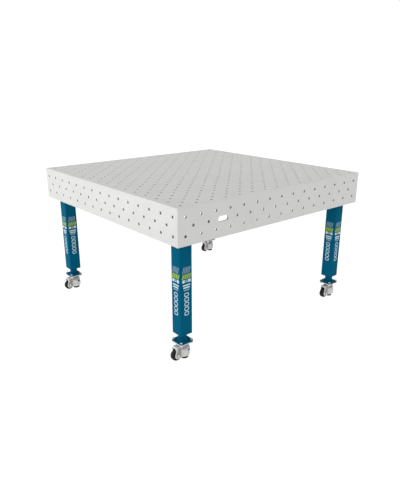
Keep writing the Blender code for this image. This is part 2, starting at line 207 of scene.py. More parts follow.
def skin(rings, joined=False):
    """A surface through rings of points, closed at its ends or with its last ring joined to its first."""
    count = len(rings[0])
    points = [tuple(point) for one in rings for point in one]
    faces = []
    last = len(rings) if joined else len(rings) - 1
    for i in range(last):
        this, following = i * count, (i + 1) % len(rings) * count
        for j in range(count):
            k = (j + 1) % count
            faces.append((this + j, this + k, following + k, following + j))
    if not joined:
        faces.append(tuple(range(count))[::-1])
        faces.append(tuple(range((len(rings) - 1) * count, len(rings) * count)))
    return points, faces


def circle_at(radius, height, sides, center=(0, 0)):
    return [(x, y, height) for x, y in ring(center, radius, sides)]


def turned(profile, sides, center=(0, 0)):
    """A solid of rings given as (radius, height), from its bottom to its top."""
    return skin([circle_at(radius, height, sides, center) for radius, height in profile])


def shaped_rings(profile, sides, point):
    """Rings round an axis, where point turns (radius, height, angle) into a point."""
    angles = [math.tau * i / sides for i in range(sides)]
    return [[point(radius, height, angle) for angle in angles] for radius, height in profile]


def rod(radius, bottom, top, sides, x=0.0):
    """A plain upright cylinder."""
    return turned([(radius, bottom), (radius, top)], sides, (x, 0))


def turned_tube(profile, sides):
    """A turned ring: its profile runs up its outer side, and back down its bore."""
    return skin([circle_at(radius, height, sides) for radius, height in profile], joined=True)


def bar_shape(low, high):
    """A box between two corners."""
    outline = [(low[0], low[1]), (high[0], low[1]), (high[0], high[1]), (low[0], high[1])]
    return skin([[(x, y, z) for x, y in outline] for z in (low[2], high[2])])


def slab(outline, near, far):
    """An outline in the XZ plane as a solid between two places on Y."""
    return skin([[(x, y, z) for x, z in outline] for y in (near, far)])


def at(x, y, z):
    return Matrix.Translation((x, y, z))


def turn(angle, axis):
    return Matrix.Rotation(angle, 4, axis)


def moved(shape, matrix):
    points, faces = shape
    return [tuple(matrix @ Vector(point)) for point in points], faces


def shifted(shape, x, y, z=0.0):
    return moved(shape, at(x, y, z))


def finished(mesh, angle=SHARP_ANGLE):
    """Faces turned out, and edges sharper than the angle kept sharp."""
    bm = bmesh.new()
    bm.from_mesh(mesh)
    bmesh.ops.remove_doubles(bm, verts=bm.verts, dist=0.000002)
    bmesh.ops.recalc_face_normals(bm, faces=bm.faces)
    bm.to_mesh(mesh)
    bm.free()
    mesh.shade_smooth()
    mesh.set_sharp_from_angle(angle=math.radians(angle))
    return mesh


def mesh_of(name, shapes, angle=SHARP_ANGLE):
    points, faces = [], []
    for shape_points, shape_faces in shapes:
        start = len(points)
        points += shape_points
        faces += [tuple(start + i for i in face) for face in shape_faces]
    mesh = bpy.data.meshes.new(name)
    mesh.from_pydata(points, [], faces)
    return finished(mesh, angle)


def new_object(name, data):
    """A new object, linked to the scene."""
    made = bpy.data.objects.new(name, data)
    bpy.context.scene.collection.objects.link(made)
    return made


def evaluated_mesh(shape):
    """The mesh of a helper object with its modifiers applied. The helper is removed."""
    bpy.context.view_layer.update()
    graph = bpy.context.evaluated_depsgraph_get()
    mesh = bpy.data.meshes.new_from_object(shape.evaluated_get(graph))
    mesh.name = shape.name
    bpy.data.objects.remove(shape, do_unlink=True)
    return mesh


def outline_curve(name, rim, holes, half, edge):
    """A filled flat outline with holes, thick on both sides of its plane, with its edges cut back."""
    curve = bpy.data.curves.new(name, "CURVE")
    curve.dimensions = "2D"
    curve.fill_mode = "BOTH"
    curve.extrude = half
    curve.bevel_depth = edge
    curve.bevel_resolution = 0
    curve.offset = -edge
    for outline in [rim] + [hole[::-1] for hole in holes]:
        spline = curve.splines.new("POLY")
        spline.points.add(len(outline) - 1)
        for point, (x, y) in zip(spline.points, outline):
            point.co = (x, y, 0.0, 1.0)
        spline.use_cyclic_u = True
    return curve


def plate_mesh(name, rim, holes, thickness, edge=EDGE):
    """A flat plate in its own XY plane, half of its thickness on either side, with chamfered edges."""
    curve = outline_curve(name, rim, holes, thickness / 2 - edge, edge)
    return finished(evaluated_mesh(new_object(name, curve)))


def finish_holes(mesh, bore):
    """Gives the bores of a flat plate a darker colour that paints the shade inside them, and their
    chamfers a paler one that is partly a painted highlight.
    """
    margin = 0.002  # leaves out the plate's own edges
    for material in ("ground_steel", bore, "hole_edge"):
        mesh.materials.append(MATERIALS[material])
    across = [vertex.co.x for vertex in mesh.vertices]
    along = [vertex.co.y for vertex in mesh.vertices]
    box = (min(across) + margin, max(across) - margin, min(along) + margin, max(along) - margin)
    for face in mesh.polygons:
        x, y = face.center.x, face.center.y
        if abs(face.normal.z) < 0.95 and box[0] < x < box[1] and box[2] < y < box[3]:
            # bores take the painted shade, chamfers the paler colour with its painted highlight
            face.material_index = 1 if abs(face.normal.z) < 0.3 else 2


# Node materials


class Recipe:
    """A material under construction. Its methods add nodes and return the last one's output."""

    def __init__(self, name, **constants):
        self.material = bpy.data.materials.new(name)
        self.material.use_nodes = True
        self.tree = self.material.node_tree
        self.shader = self.tree.nodes["Principled BSDF"]
        for socket, value in constants.items():
            self.shader.inputs[socket.replace("_", " ")].default_value = value

    def add(self, kind, inputs=(), **settings):
        node = self.tree.nodes.new(kind)
        for name, value in settings.items():
            setattr(node, name, value)
        for socket, value in dict(inputs).items():
            if isinstance(value, bpy.types.NodeSocket):
                self.tree.links.new(value, node.inputs[socket])
            else:
                node.inputs[socket].default_value = value
        return node

    def place(self, scale, turned_by):
        """The point on the piece, stretched by the scale and turned about Z."""
        point = self.add("ShaderNodeTexCoord").outputs["Object"]
        mapping = {"Vector": point, "Scale": scale, "Rotation": (0, 0, turned_by)}
        return self.add("ShaderNodeMapping", mapping).outputs["Vector"]

    def noise(self, scale, detail=2.0, stretch=(1, 1, 1), turned_by=0.0, roughness=0.5):
        point = self.place(stretch, turned_by)
        inputs = {"Vector": point, "Scale": scale, "Detail": detail, "Roughness": roughness}
        return self.add("ShaderNodeTexNoise", inputs).outputs["Fac"]

    def mapped(self, value, low, high, new_low, new_high):
        """The value, with low to high turned into new_low to new_high."""
        inputs = {"Value": value, "From Min": low, "From Max": high, "To Min": new_low, "To Max": new_high}
        return self.add("ShaderNodeMapRange", inputs).outputs["Result"]

    def blotches(self, value):
        """A factor from 0 to 1 that changes over most of a noise's range."""
        return self.mapped(value, 0.35, 0.65, 0.0, 1.0)

    def shine(self, value, smooth, rough):
        """A roughness that follows a noise."""
        return self.mapped(value, 0.3, 0.7, smooth, rough)

    def specks(self, value, low, high, amount):
        """A factor that is zero but where the noise is high."""
        return self.mapped(value, low, high, 0.0, amount)

    def times(self, value, factor):
        return self.add("ShaderNodeMath", {0: value, 1: factor}, operation="MULTIPLY").outputs[0]

    def mix(self, factor, first, second):
        """One colour turned into another by the factor."""
        inputs = {0: factor}
        for socket, value in ((6, first), (7, second)):
            inputs[socket] = value if isinstance(value, bpy.types.NodeSocket) else (*value, 1.0)
        return self.add("ShaderNodeMix", inputs, data_type="RGBA").outputs[2]

    def bump(self, height, distance, strength, under=None):
        inputs = {"Height": height, "Distance": distance, "Strength": strength}
        if under is not None:
            inputs["Normal"] = under
        return self.add("ShaderNodeBump", inputs).outputs["Normal"]

    def done(self, color, roughness=None, normal=None):
        for socket, value in (("Base Color", color), ("Roughness", roughness), ("Normal", normal)):
            if value is not None:
                self.tree.links.new(value, self.shader.inputs[socket])
        return self.material


def ground_steel():
    """Plate ground along its length, with fine scratches, faint smudges and a satin shine."""
    steel = Recipe("ground_steel", Metallic=0.5)
    clouds = steel.noise(5.0, detail=5.0, roughness=0.6)
    grain = steel.noise(60.0, detail=6.0, stretch=(1.5, 30.0, 30.0), roughness=0.65)
    cross_grain = steel.noise(45.0, detail=4.0, stretch=(30.0, 2.0, 2.0), turned_by=0.35)
    scratches = steel.specks(cross_grain, 0.66, 0.7, 1.0)
    color = steel.mix(steel.blotches(clouds), (0.568, 0.565, 0.557), (0.6, 0.597, 0.59))
    color = steel.mix(steel.specks(grain, 0.35, 0.65, 0.5), color, (0.505, 0.503, 0.497))
    color = steel.mix(steel.times(scratches, 0.38), color, (0.7, 0.7, 0.69))
    relief = steel.bump(grain, 0.00008, 0.6)
    return steel.done(color, steel.shine(grain, 0.42, 0.56), steel.bump(scratches, 0.00004, 0.5, relief))


def bore_painted_shade(name, dark, pale):
    """The wall of a drilled hole, with the rings that the drill left, in a dark colour that paints the
    shade inside the hole.
    """
    steel = Recipe(name, Metallic=0.4)
    rings = steel.noise(900.0, detail=2.0, stretch=(0.05, 0.05, 1.0))
    color = steel.mix(steel.blotches(rings), (dark,) * 3, (pale,) * 3)
    return steel.done(color, steel.shine(rings, 0.45, 0.62), steel.bump(rings, 0.00005, 0.5))


def hole_edge():
    """The chamfer that a countersink leaves round a hole: fresh-cut metal, with a paler colour that is
    also a painted highlight.
    """
    steel = Recipe("hole_edge", Metallic=0.85)
    rings = steel.noise(700.0, detail=2.0)
    # the pale colour paints a highlight round each hole, on top of the shine of the fresh cut
    color = steel.mix(steel.blotches(rings), (0.8, 0.8, 0.79), (0.9, 0.9, 0.89))
    return steel.done(color, steel.shine(rings, 0.2, 0.34), steel.bump(rings, 0.00003, 0.4))


def rolled_skin_and_shade():
    """Plate that keeps a trace of its rolled skin, on the ribs and under the table, kept darker than the
    worktop as painted shade inside the box.
    """
    steel = Recipe("rolled_skin_and_shade", Metallic=0.55)
    clouds = steel.noise(7.0, detail=6.0, roughness=0.65)
    scale = steel.noise(260.0, detail=3.0)
    # the darker base tones paint the shade under the worktop; the dark specks are the rolled scale
    color = steel.mix(steel.blotches(clouds), (0.42, 0.42, 0.42), (0.52, 0.518, 0.51))
    color = steel.mix(steel.specks(scale, 0.55, 0.7, 0.4), color, (0.26, 0.257, 0.25))
    return steel.done(color, steel.shine(clouds, 0.42, 0.6), steel.bump(scale, 0.00008, 0.5))


def teal_paint():
    """Powder coat with a fine orange-peel skin."""
    paint = Recipe("teal_paint", Specular_IOR_Level=0.01)
    clouds = paint.noise(9.0, detail=3.0)
    peel = paint.noise(520.0, detail=2.0)
    dust = paint.noise(1500.0, detail=1.0)
    color = paint.mix(paint.blotches(clouds), (0.0001, 0.08, 0.15), (0.0003, 0.087, 0.162))
    color = paint.mix(paint.specks(dust, 0.68, 0.74, 0.15), color, (0.004, 0.14, 0.23))
    return paint.done(color, paint.shine(clouds, 0.34, 0.44), paint.bump(peel, 0.00012, 0.5))


def zinc_plate(name, light, dark):
    """Bright zinc with a soft cloudy lustre and a few duller spots."""
    zinc = Recipe(name, Metallic=1.0)
    clouds = zinc.noise(90.0, detail=4.0, roughness=0.6)
    spots = zinc.noise(700.0, detail=2.0)
    color = zinc.mix(zinc.blotches(clouds), light, dark)
    color = zinc.mix(zinc.specks(spots, 0.6, 0.72, 0.3), color, (0.48, 0.49, 0.5))
    return zinc.done(color, zinc.shine(clouds, 0.24, 0.38), zinc.bump(spots, 0.00004, 0.4))


def die_cast(name, pale, dull, shine_from):
    """Die-cast aluminium: satin, faintly granular, a little darker in patches where the metal flowed."""
    cast = Recipe(name, Metallic=0.35)
    flow = cast.noise(55.0, detail=4.0, stretch=(1, 1, 0.5), roughness=0.6)
    grain = cast.noise(900.0, detail=3.0)
    dark = tuple(0.75 * channel for channel in dull)
    color = cast.mix(cast.blotches(flow), pale, dull)
    color = cast.mix(cast.specks(grain, 0.6, 0.75, 0.25), color, dark)
    shine = cast.shine(flow, shine_from, shine_from + 0.15)
    return cast.done(color, shine, cast.bump(grain, 0.00008, 0.6))


def moulded(name, color, worn, shine_from, grain_scale=700.0, depth=0.00006):
    """Moulded plastic or rubber with a fine grain and dusty, slightly paler patches."""
    plastic = Recipe(name, Specular_IOR_Level=0.12)
    dust = plastic.noise(40.0, detail=5.0, roughness=0.65)
    grain = plastic.noise(grain_scale, detail=2.0)
    base = plastic.mix(plastic.specks(dust, 0.45, 0.72, 1.0), color, worn)
    shine = plastic.shine(dust, shine_from, shine_from + 0.14)
    return plastic.done(base, shine, plastic.bump(grain, depth, 0.6))


def weld_metal():
    """Weld bead with straw and blue heat tint along it."""
    weld = Recipe("weld_metal", Metallic=0.9)
    tint = weld.noise(70.0, detail=3.0)
    scale = weld.noise(420.0, detail=4.0)
    color = weld.mix(weld.specks(tint, 0.4, 0.62, 1.0), (0.42, 0.39, 0.35), (0.33, 0.35, 0.4))
    color = weld.mix(weld.specks(scale, 0.58, 0.72, 0.5), color, (0.2, 0.19, 0.18))
    return weld.done(color, weld.shine(scale, 0.34, 0.58), weld.bump(scale, 0.00012, 0.6))


def vinyl(name, color):
    """A printed film with a slight sheen and a faint unevenness in its ink."""
    film = Recipe(name, Specular_IOR_Level=0.2)
    ink = film.noise(120.0, detail=3.0)
    pale = tuple(min(1.0, channel * 1.08 + 0.01) for channel in color)
    base = film.mix(film.blotches(ink), color, pale)
    return film.done(base, film.shine(ink, 0.32, 0.42), film.bump(ink, 0.00002, 0.3))


def make_materials():
    return {
        "ground_steel": ground_steel(),
        # bore walls: painted shade, darkest in the worktop's holes and lighter in the skirt's
        "bore_painted_shade": bore_painted_shade("bore_painted_shade", 0.08, 0.12),
        "bore_light_painted_shade": bore_painted_shade("bore_light_painted_shade", 0.38, 0.46),
        "hole_edge": hole_edge(),
        "rolled_skin_and_shade": rolled_skin_and_shade(),
        "teal_paint": teal_paint(),
        "zinc": zinc_plate("zinc_plate", (0.72, 0.73, 0.74), (0.55, 0.56, 0.58)),
        # near-black raceways: painted shadow under the castor plate
        "race_painted_shadow": zinc_plate("race_shadow_steel", (0.15, 0.14, 0.13), (0.09, 0.085, 0.08)),
        "die_cast": die_cast("die_cast", (0.57, 0.566, 0.56), (0.5, 0.496, 0.49), 0.4),
        # the neck's dark colour is the painted shadow that the castor plate casts on the housing
        "neck_painted_shadow": die_cast("neck_painted_shadow", (0.32, 0.31, 0.3), (0.24, 0.232, 0.224), 0.45),
        # the cheek recesses' darker colour is painted shade
        "cheek_recess_painted_shade": die_cast("cheek_recess_painted_shade", (0.3, 0.297, 0.295), (0.24, 0.238, 0.236), 0.55),
        "black_nylon": moulded("black_nylon", (0.01, 0.01, 0.011), (0.022, 0.021, 0.021), 0.36),
        "black_rubber": moulded("black_rubber", (0.008,) * 3, (0.02, 0.02, 0.019), 0.62, 420.0, 0.0001),
        "dark_plastic": moulded("dark_plastic", (0.024, 0.023, 0.026), (0.044, 0.042, 0.046), 0.38),
        "weld": weld_metal(),
        "film_white": vinyl("film_white", (0.44, 0.585, 0.645)),
        "film_grey": vinyl("film_grey", (0.2, 0.27, 0.31)),
        "film_green": vinyl("film_green", (0.22, 0.35, 0.02)),
    }


MATERIALS = make_materials()


# Pieces


def add_piece(name, mesh, material, slot, body="root", place=Matrix.Identity(4), stands_for=()):
    """Puts a mesh into the scene as a piece of the table that moves with a body."""
    piece = new_object(name, mesh)
    piece.matrix_world = place
    if not mesh.materials:
        mesh.materials.append(MATERIALS[material])
    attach(piece, body)
    if stands_for:
        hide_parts(*stands_for)
    return piece


def finish_node(node, material):
    """A CAD node that stays gets its material."""
    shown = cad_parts[node]
    if not shown.material_slots:
        shown.data.materials.append(None)
    for slot in shown.material_slots:
        slot.material = MATERIALS[material]


def middle(low, high):
    return (low + high) / 2


def upright_axis(node):
    """A place on the floor under the middle of a node's box, as a matrix."""
    low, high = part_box(node)
    center = (low + high) / 2
    return at(center.x, center.y, 0)


def grid(count, step):
    """Positions of a row that is centred on zero."""
    return [(i - (count - 1) / 2) * step for i in range(count)]


def clamp_hole(x, y):
    return ring((x, y), HOLE_RADIUS, HOLE_SIDES)


# Table box

TOP_LOW, TOP_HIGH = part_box("top_plate")
TABLE_X = TOP_HIGH.x - TOP_LOW.x
TABLE_Y = TOP_HIGH.y - TOP_LOW.y
PLATE = TOP_HIGH.z - TOP_LOW.z
SKIRT_LOW, SKIRT_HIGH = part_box("side_front")


def build_top():
    holes = []
    for row in (grid(MAIN_ROW, PITCH), grid(OFFSET_ROW, PITCH)):
        holes += [clamp_hole(x, y) for x in row for y in row]
    mesh = plate_mesh("worktop", rectangle(TABLE_X, TABLE_Y), holes, PLATE, HOLE_EDGE)
    finish_holes(mesh, "bore_painted_shade")
    place = at(0, 0, middle(TOP_LOW.z, TOP_HIGH.z))
    add_piece("worktop", mesh, "ground_steel", "steel_plate", place=place, stands_for=["top_plate"])


def build_side(name, node, length, slotted, place):
    """A plate of the skirt, in its own XY plane with its upper edge at Y = 0."""
    height = SKIRT_HIGH.z - SKIRT_LOW.z
    holes = []
    for row, count in enumerate((MAIN_ROW, OFFSET_ROW, MAIN_ROW)):
        y = TOP_HIGH.z - ROW_STEP * (row + 1) - SKIRT_HIGH.z
        for x in grid(count, PITCH):
            if slotted and abs(x - SLOT_AT) < PITCH / 4:
                holes.append(rounded_rectangle(*SLOT_SIZE, SLOT_SIZE[1] / 2, 12, center=(x, y)))
            else:
                holes.append(clamp_hole(x, y))
    rim = rectangle(length, height, center=(0, -height / 2))
    mesh = plate_mesh(name, rim, holes, PLATE, HOLE_EDGE)
    finish_holes(mesh, "bore_light_painted_shade")
    add_piece(name, mesh, "ground_steel", "steel_plate", place=place, stands_for=[node])


def upright(x, y, quarters):
    """Stands a plate on edge, with its outer face turned from the front by quarter turns about Z."""
    return at(x, y, SKIRT_HIGH.z) @ turn(quarters * QUARTER, "Z") @ turn(QUARTER, "X")


def build_sides():
    x = (TABLE_X - PLATE) / 2
    y = (TABLE_Y - PLATE) / 2
    left_low, left_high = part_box("side_left")
    short = left_high.y - left_low.y
    build_side("skirt_front", "side_front", TABLE_X, True, upright(0, -y, 0))
    build_side("skirt_back", "side_back", TABLE_X, False, upright(0, y, 2))
    build_side("skirt_left", "side_left", short, False, upright(-x, 0, -1))
    build_side("skirt_right", "side_right", short, False, upright(x, 0, 1))


def build_seams():
    """Weld metal ground flush in the seams, so that the box looks like one piece."""
    x, y = TABLE_X / 2 - FLUSH, TABLE_Y / 2 - FLUSH
    deep = PLATE / 2
    low, high = SKIRT_HIGH.z - SEAM_LAP * HOLE_EDGE, TOP_LOW.z + SEAM_LAP * HOLE_EDGE
    shapes = []
    for side in (-1, 1):
        ends = sorted((side * x, side * (x - deep)))
        shapes.append(bar_shape((ends[0], -y, low), (ends[1], y, high)))
        ends = sorted((side * y, side * (y - deep)))
        shapes.append(bar_shape((-x + deep, ends[0], low), (x - deep, ends[1], high)))
    seam = TABLE_Y / 2 - PLATE
    half = 1.5 * HOLE_EDGE
    for side_x, side_y in CORNERS.values():
        ends = sorted((side_x * x, side_x * (x - deep)))
        bottom = (ends[0], side_y * seam - half, SKIRT_LOW.z + FLUSH)
        shapes.append(bar_shape(bottom, (ends[1], side_y * seam + half, low)))
    add_piece("ground_seams", mesh_of("ground_seams", shapes), "ground_steel", "steel_plate")


# Welds

BEAD_STEP = 0.0012  # between the sections of a bead
BEAD_RIPPLE = 0.0036  # length of a scale
BEAD_ARC_STEPS = 4
BEAD_SINK = 0.0003


def bead_ring(corner, along_one, along_other, size):
    """The section of a fillet weld in the corner of two faces, a quarter round and a bit proud."""
    inside = corner - (along_one + along_other) * BEAD_SINK
    points = [inside]
    for step in range(BEAD_ARC_STEPS + 1):
        angle = QUARTER * step / BEAD_ARC_STEPS
        points.append(corner + (along_one * math.cos(angle) + along_other * math.sin(angle)) * size)
    return points


def ripple(distance):
    """The scales of a weld: each one rises slowly and drops at its end."""
    phase = distance / BEAD_RIPPLE % 1.0
    return 1.0 + 0.16 * phase - 0.08


def wall_weld(axis, run, wall, out, height, up, size):
    """A weld along X (axis 0) or Y (axis 1) where a wall, which faces out, meets a level plate."""
    start, end = [Vector((along, wall, height) if axis == 0 else (wall, along, height)) for along in run]
    facing = Vector((0, out, 0) if axis == 0 else (out, 0, 0))
    length = (end - start).length
    count = max(4, round(length / BEAD_STEP))
    rings = []
    for i in range(count + 1):
        share = i / count
        taper = min(1.0, 0.45 + min(share, 1 - share) * length / (1.2 * size))
        grown = size * taper * ripple(share * length)
        rings.append(bead_ring(start.lerp(end, share), facing, Vector((0, 0, up)), grown))
    return skin(rings)


def resampled(outline, step):
    """Points at equal steps round a closed outline, each with its outward normal."""
    corners = [Vector(point) for point in outline]
    lengths = [(corners[(i + 1) % len(corners)] - corners[i]).length for i in range(len(corners))]
    count = round(sum(lengths) / step)
    stations = []
    edge, walked = 0, 0.0
    for i in range(count):
        target = sum(lengths) * i / count
        while walked + lengths[edge] < target:
            walked += lengths[edge]
            edge += 1
        start, end = corners[edge], corners[(edge + 1) % len(corners)]
        direction = (end - start).normalized()
        stations.append((start + direction * (target - walked), Vector((direction.y, -direction.x))))
    return stations


def round_weld(outline, height, up, size):
    """A fillet weld where an upright wall, whose outline runs anticlockwise, meets a flat plate."""
    rings = []
    for i, (point, normal) in enumerate(resampled(outline, BEAD_STEP)):
        corner = Vector((point.x, point.y, height))
        outward = Vector((normal.x, normal.y, 0))
        rings.append(bead_ring(corner, outward, Vector((0, 0, up)), size * ripple(i * BEAD_STEP)))
    return skin(rings, joined=True)


def stitches(length, count, run):
    """Starts and ends of short welds, each a run long, spread along a length centred on zero."""
    return [(x - run / 2, x + run / 2) for x in grid(count, length / count)]


def build_box_welds():
    """Stitch welds where the ribs meet the worktop and where the skirt meets it."""
    under = TOP_LOW.z
    shapes = []
    for axis, node in ((0, "rib_front"), (0, "rib_back"), (1, "rib_left"), (1, "rib_right")):
        low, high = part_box(node)
        for run in stitches(high[axis] - low[axis], *RIB_STITCHES):
            for wall, out in ((low[1 - axis], -1), (high[1 - axis], 1)):
                shapes.append(wall_weld(axis, run, wall, out, under, -1, STITCH_THROAT))
    x = TABLE_X / 2 - PLATE
    y = TABLE_Y / 2 - PLATE
    for axis, reach, wall in ((0, x, y), (1, y, x)):
        for run in stitches(2 * reach, *BOX_STITCHES):
            for side in (-1, 1):
                shapes.append(wall_weld(axis, run, side * wall, -side, under, -1, BOX_THROAT))
    add_piece("box_welds", mesh_of("box_welds", shapes, WELD_ANGLE), "weld", "steel_plate")


# Fasteners

HEXAGON_SIDES = 36  # points round a hexagon, six to a flat


def hexagon_radius(angle, flats):
    sector = math.radians(60)
    return flats / 2 / math.cos((angle + sector / 2) % sector - sector / 2)


def hexagon_ring(flats, height, chamfered=False, up=1):
    """A ring of points round a hexagon. A chamfered one dips at its corners."""

    def point(half_flats, height, angle):
        radius = hexagon_radius(angle, flats)
        drop = (radius - half_flats * 0.97) * math.tan(math.radians(30)) if chamfered else 0.0
        return radius * math.cos(angle), radius * math.sin(angle), height - up * drop

    return shaped_rings([(flats / 2, height)], HEXAGON_SIDES, point)[0]


def hexagon_block(flats, low, high):
    """A hexagonal head or nut with its ends turned to a cone, so that its corners are cut back."""
    return skin([
        circle_at(flats / 2 * 0.92, low, HEXAGON_SIDES),
        hexagon_ring(flats, low, True, -1),
        hexagon_ring(flats, high, True),
        circle_at(flats / 2 * 0.92, high, HEXAGON_SIDES),
    ])


def washer_shape(radius, bore, low, high):
    edge = 0.0003
    profile = [
        (bore, low), (radius - edge, low), (radius, low + edge),
        (radius, high - edge), (radius - edge, high), (bore, high),
    ]
    return turned_tube(profile, 36)


def bolt_shapes(kind, head_face, far_face, up):
    """A bolt whose head rests on one face, with a nut on the other. Up is the side of its head."""
    head_base = head_face + up * kind["thick"]
    nut_top = far_face - up * kind["nut"]
    low, high = sorted((head_base, nut_top - up * BOLT_TIP))
    shank = kind["bolt"] - 0.0002
    slim = shank - BOLT_ROUND
    profile = [(slim, low), (shank, low + BOLT_ROUND), (shank, high - BOLT_ROUND), (slim, high)]
    return [
        hexagon_block(kind["flats"], *sorted((head_base, head_base + up * kind["head"]))),
        washer_shape(kind["washer"], kind["bolt"], *sorted((head_face, head_base))),
        hexagon_block(kind["flats"], *sorted((far_face, nut_top))),
        turned(profile, 24),
    ]


def bolt_holes(kind, spacing, center=(0, 0)):
    return [ring(point, kind["bolt"] + BOLT_PLAY, 24) for point in corner_points(spacing, center)]


def bolt_square(kind, spacing, head_face, far_face, up):
    """Four bolts at the corners of a square."""
    bolt = bolt_shapes(kind, head_face, far_face, up)
    return [shifted(shape, x, y) for x, y in corner_points(spacing) for shape in bolt]


# Legs

TUBE_LOW, TUBE_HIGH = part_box("leg_tube_front_left")
TUBE_SIDE = TUBE_HIGH.x - TUBE_LOW.x


def rounded_rim(node, radius, steps):
    """The outline of a node's box seen from above, about its middle, with rounded corners."""
    low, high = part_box(node)
    return rounded_rectangle(high.x - low.x, high.y - low.y, radius, steps)


def level_plate(name, rim, holes, bottom, top):
    """A plate that lies between two heights."""
    mesh = plate_mesh(name, rim, holes, top - bottom)
    mesh.transform(at(0, 0, middle(bottom, top)))
    return mesh


def tube_hollow(play=0.0):
    inside = TUBE_SIDE - 2 * LEG_WALL - play
    return rounded_rectangle(inside, inside, LEG_CORNER - LEG_WALL, 6)


def leg_meshes():
    """Meshes that the four legs share, about the middle of a leg."""
    flange_low, flange_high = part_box("leg_flange_front_left")
    mount_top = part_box("leg_mount_front_left")[1].z
    outline = rounded_rim("leg_tube_front_left", LEG_CORNER, 10)
    rim = rounded_rim("leg_flange_front_left", FLANGE_CORNER, 8)
    holes = bolt_holes(M12, FLANGE_BOLTS)
    bolts = bolt_square(M12, FLANGE_BOLTS, flange_low.z, mount_top, -1)
    weld = round_weld(outline, flange_low.z, -1, BOX_THROAT)
    return {
        "leg": level_plate("leg_tube", outline, [tube_hollow()], TUBE_LOW.z, TUBE_HIGH.z),
        "leg_head": level_plate("leg_flange", rim, holes, flange_low.z, flange_high.z),
        "leg_head_weld": mesh_of("leg_head_weld", [weld], WELD_ANGLE),
        "leg_bolts": mesh_of("leg_bolts", bolts),
        "leg_foot": leg_foot_mesh(),
    }


def foot_plate(name, node, bottom, top):
    """A square plate with four bolt holes: the leg's base plate, or the castor's top plate."""
    rim = rounded_rim(node, FOOT_PLATE_CORNER, 10)
    return level_plate(name, rim, bolt_holes(M8, FOOT_PLATE_BOLTS), bottom, top)


def leg_foot_mesh():
    """The base plate, the round neck with a weld at either end, and the plug in the end of the tube."""
    low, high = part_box("leg_base_front_left")
    plate_top = low.z + BASE_THICK
    plate = foot_plate("leg_foot", "leg_base_front_left", low.z, plate_top)
    plug = skin([[(x, y, z) for x, y in tube_hollow(PLUG_PLAY)] for z in (TUBE_LOW.z + 0.0004, high.z)])
    neck = rod(NECK_RADIUS, low.z + 0.004, TUBE_LOW.z + 0.002, NECK_SIDES)
    circle = ring((0, 0), NECK_RADIUS, NECK_SIDES)
    bottom_weld = round_weld(circle, plate_top, 1, NECK_THROAT)
    top_weld = round_weld(circle, TUBE_LOW.z, -1, NECK_THROAT)
    rest = mesh_of("neck", [plug, neck, bottom_weld, top_weld], WELD_ANGLE)
    bm = bmesh.new()
    bm.from_mesh(plate)
    bm.from_mesh(rest)
    bm.to_mesh(plate)
    bm.free()
    return plate


def build_leg_mount(corner):
    """The plate that takes a leg's bolts, welded into its corner of the skirt."""
    node = f"leg_mount_{corner}"
    low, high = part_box(node)
    center = (low + high) / 2
    leg = upright_axis(f"leg_tube_{corner}").translation
    holes = bolt_holes(M12, FLANGE_BOLTS, (leg.x - center.x, leg.y - center.y))
    name = f"mount_plate_{corner}"
    mesh = plate_mesh(name, rectangle(high.x - low.x, high.y - low.y), holes, high.z - low.z)
    add_piece(name, mesh, "rolled_skin_and_shade", "steel_plate", place=at(*center), stands_for=[node])
    side_x, side_y = CORNERS[corner]
    wall_x = side_x * (TABLE_X / 2 - PLATE)
    wall_y = side_y * (TABLE_Y / 2 - PLATE)
    run_x = [wall_x - side_x * along for along in MOUNT_WELD]
    run_y = [wall_y - side_y * along for along in MOUNT_WELD]
    shapes = []
    for face, up in ((low.z, -1), (high.z, 1)):
        shapes.append(wall_weld(0, run_x, wall_y, -side_y, face, up, BOX_THROAT))
        shapes.append(wall_weld(1, run_y, wall_x, -side_x, face, up, BOX_THROAT))
    name = f"mount_weld_{corner}"
    add_piece(name, mesh_of(name, shapes, WELD_ANGLE), "weld", "steel_plate")


def build_leg(corner, meshes):
    place = upright_axis(f"leg_tube_{corner}")
    parts = (
        ("leg", "teal_paint", ["leg_tube"]),
        ("leg_head", "teal_paint", ["leg_flange"]),
        ("leg_head_weld", "teal_paint", []),
        ("leg_bolts", "zinc", []),
        ("leg_foot", "teal_paint", ["leg_base"]),
    )
    for kind, finish, nodes in parts:
        stands_for = [f"{node}_{corner}" for node in nodes]
        add_piece(f"{kind}_{corner}", meshes[kind], finish, finish, place=place, stands_for=stands_for)


# Printed marks on the legs: plain bars, blocks and rounded links, with no lettering

FILM = 0.00015  # thickness of the film
MARK_TOP = 0.554  # height above the floor from which the marks are counted down
MARK_LEAN = 0.004
MARK_CORNER = 0.003


def film_shape(outline, holes=()):
    """A film cut to an outline that lies in the XZ plane and faces -Y."""
    mesh = plate_mesh("film", outline, list(holes), FILM, FILM / 4)
    points = [(v.co.x, v.co.z, v.co.y) for v in mesh.vertices]
    faces = [tuple(p.vertices)[::-1] for p in mesh.polygons]
    bpy.data.meshes.remove(mesh)
    return points, faces


def slanted(width, height, center):
    """An upright bar that leans over to its right."""
    outline = rectangle(width, height, center)
    return [(x + (MARK_LEAN if z > center[1] else -MARK_LEAN), z) for x, z in outline]


